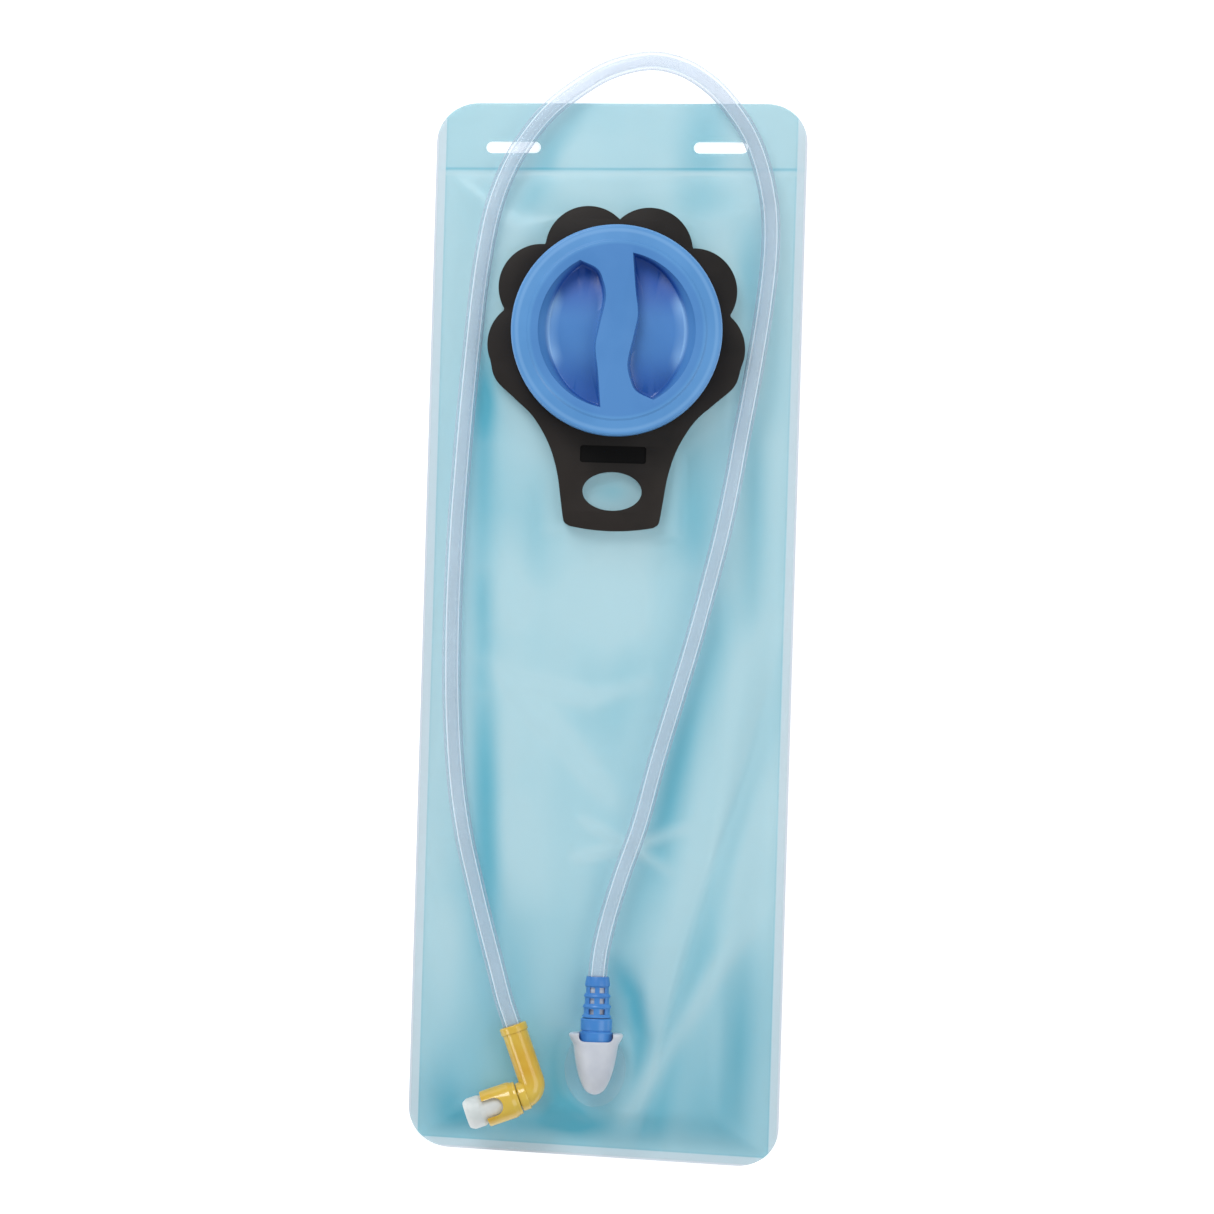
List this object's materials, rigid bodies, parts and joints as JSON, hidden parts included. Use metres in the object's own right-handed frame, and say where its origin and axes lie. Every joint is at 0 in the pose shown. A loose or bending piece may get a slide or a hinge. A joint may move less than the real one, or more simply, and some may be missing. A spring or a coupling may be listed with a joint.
{
  "type": "hydration bladder",
  "caption": "Soft translucent water reservoir with a screw filler in a flower-shaped grip collar, an outlet port, a long drink hose and an elbowed bite valve",
  "frame": {"origin": "under the middle of the bag's outline, on the surface that the bag lies on", "axes": "+X is the bag's right side seen from the front, +Y points to the top hem, +Z is the bag's front, away from the surface that it lies on"},
  "size_m": [0.161, 0.4858, 0.037],
  "materials": {
    "film": "soft translucent film, satin gloss",
    "blue_plastic": "semi-gloss moulded",
    "black_plastic": "satin moulded",
    "white_plastic": "frosted translucent moulded",
    "yellow_plastic": "semi-gloss moulded",
    "clear_tube": "clear glossy tube",
    "silicone": "translucent soft silicone",
    "dark_rubber": "matt",
    "spring_steel": "drawn wire"
  },
  "bodies": {
    "bag": {"back_film": "film", "front_film": "film", "fill_neck": "white_plastic", "grip_collar": "black_plastic", "outlet_port": "white_plastic", "port_poppet": "white_plastic", "poppet_seal": "dark_rubber", "poppet_spring": "spring_steel", "drink_hose": "clear_tube"},
    "lid_seal": {"lid_gasket": "silicone"},
    "lid": {"screw_lid": "blue_plastic"},
    "plug": {"hose_plug": "white_plastic", "plug_o_ring_inner": "dark_rubber", "plug_o_ring_outer": "dark_rubber", "coupling_collar": "blue_plastic", "strain_relief_boot": "blue_plastic"},
    "elbow": {"valve_elbow": "yellow_plastic", "swivel_seal": "dark_rubber", "stem_o_ring": "dark_rubber"},
    "shutoff": {"shutoff_collar": "yellow_plastic", "bite_mouthpiece": "silicone"}
  },
  "joints": [
    {"name": "lid_rise", "type": "slide", "parent": "bag", "child": "lid_seal", "axis": [0, 0, 1], "range_m": [0, 0.0136]},
    {"name": "lid_turn", "type": "hinge", "parent": "lid_seal", "child": "lid", "pos_m": [0, 0.1304, 0.037], "axis": [0, 0, 1], "range_deg": [0, 810]},
    {"name": "plug_swivel", "type": "hinge", "parent": "bag", "child": "plug", "pos_m": [0, -0.1775, 0.0215], "axis": [0, 1, 0], "continuous": true},
    {"name": "elbow_swivel", "type": "hinge", "parent": "bag", "child": "elbow", "pos_m": [-0.0259, -0.2041, 0.0215], "axis": [-0.3502, 0.9367, 0], "range_deg": [0, 110]},
    {"name": "shutoff_twist", "type": "hinge", "parent": "elbow", "child": "shutoff", "pos_m": [-0.0259, -0.2041, 0.0215], "axis": [-0.9367, -0.3502, 0], "range_deg": [0, 90]}
  ],
  "couplings": [
    {"joint": "lid_rise", "follows": "lid_turn", "m_per_rad": 0.00095493}
  ]
}
